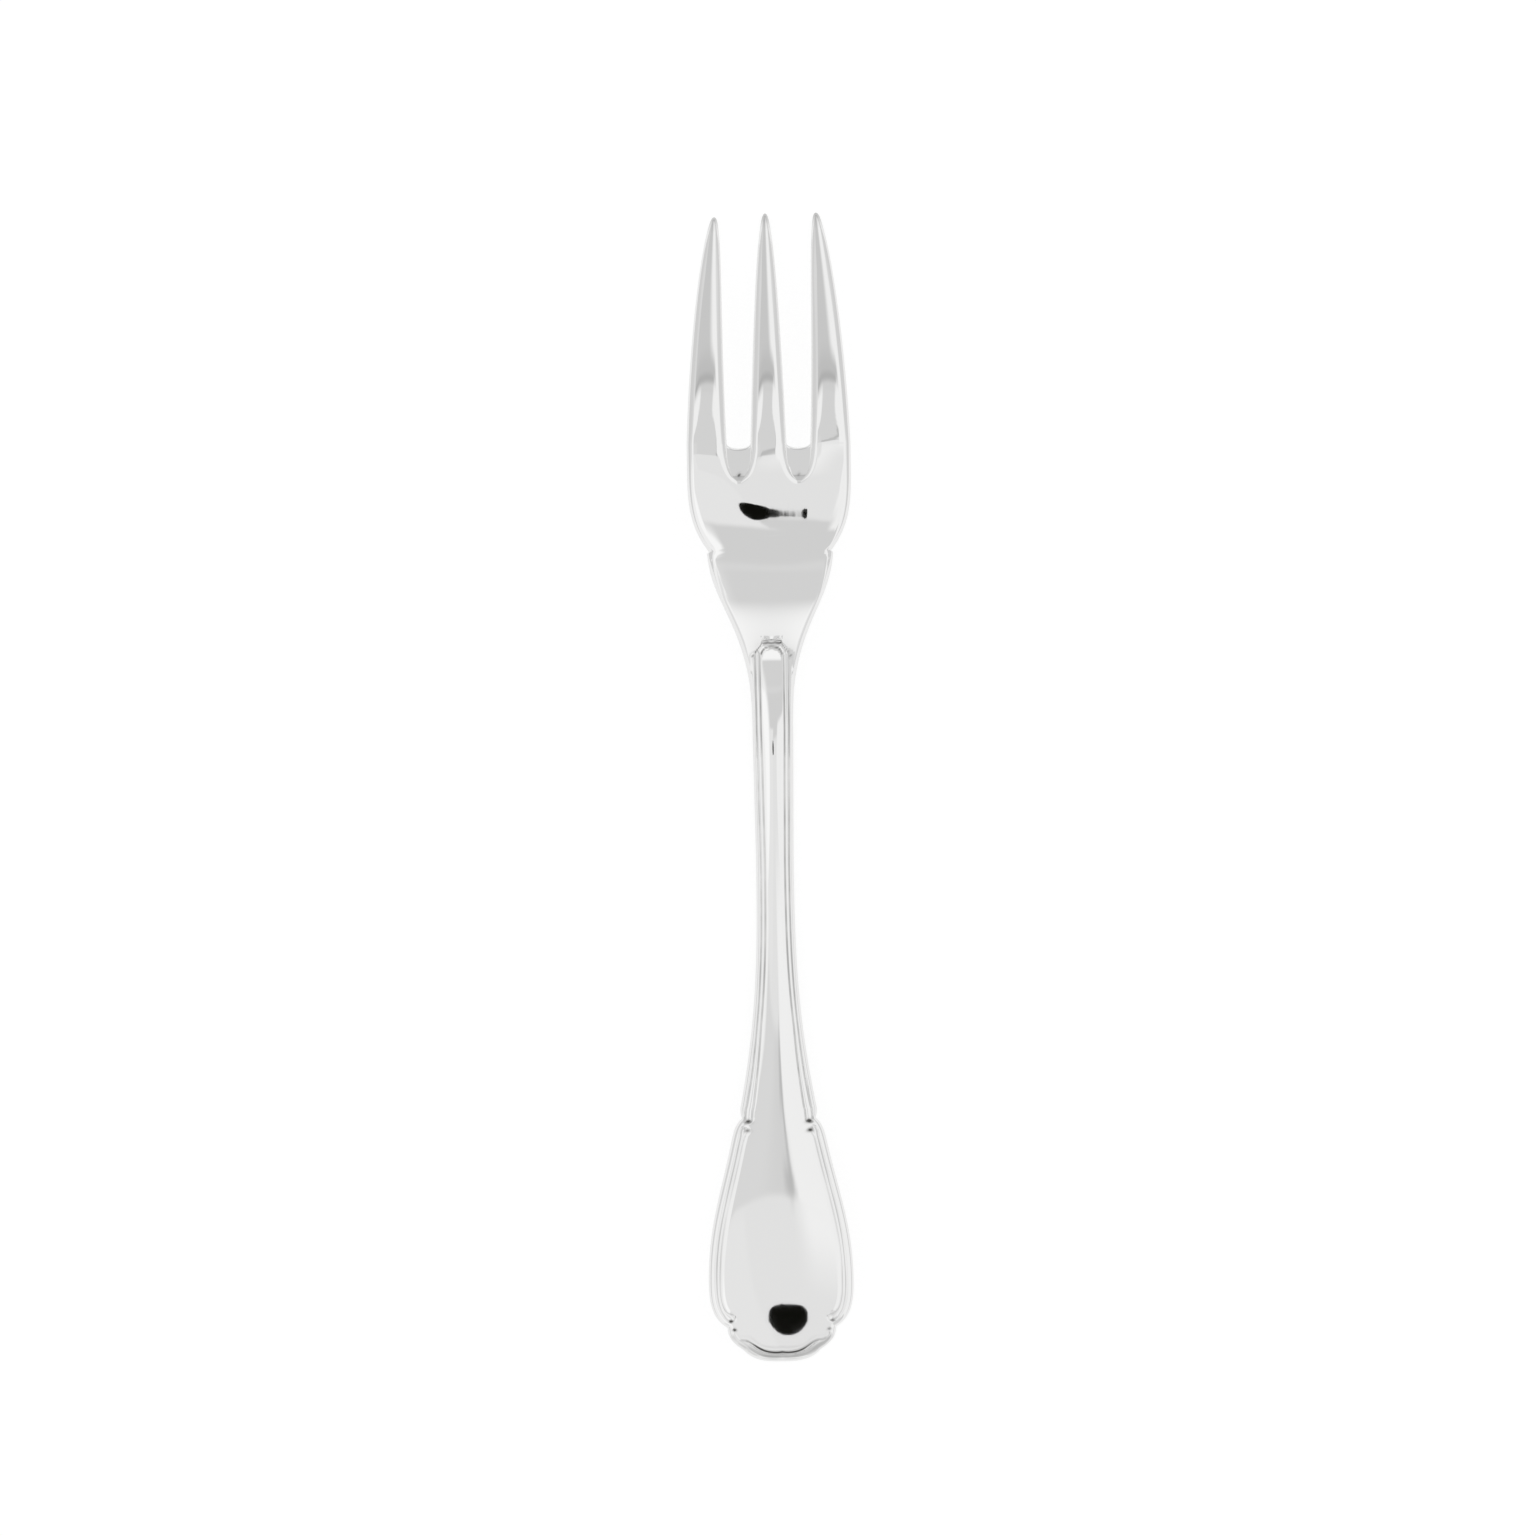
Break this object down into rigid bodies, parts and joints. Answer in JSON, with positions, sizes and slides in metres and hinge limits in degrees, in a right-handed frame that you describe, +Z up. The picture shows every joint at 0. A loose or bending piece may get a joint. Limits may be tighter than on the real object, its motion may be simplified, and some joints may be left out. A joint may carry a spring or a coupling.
{
  "type": "fish fork",
  "caption": "Silver-plated fish fork with long tapering tines, a waisted neck, a stem bordered by threads and a lobed, fiddle-shaped handle end.",
  "frame": {"origin": "on the table, under the middle of the fork's bounding box", "axes": "+Y along the fork towards the tips, +Z up out of the back of the fork, which lies face down"},
  "size_m": [0.027, 0.19, 0.0161],
  "materials": {
    "steel": "ground base metal, bare only where the plate is worn through",
    "silver": "mirror-polished silver plate"
  },
  "bodies": {
    "root": {"steel_core": "steel", "silver_plating": "silver"}
  },
  "joints": []
}
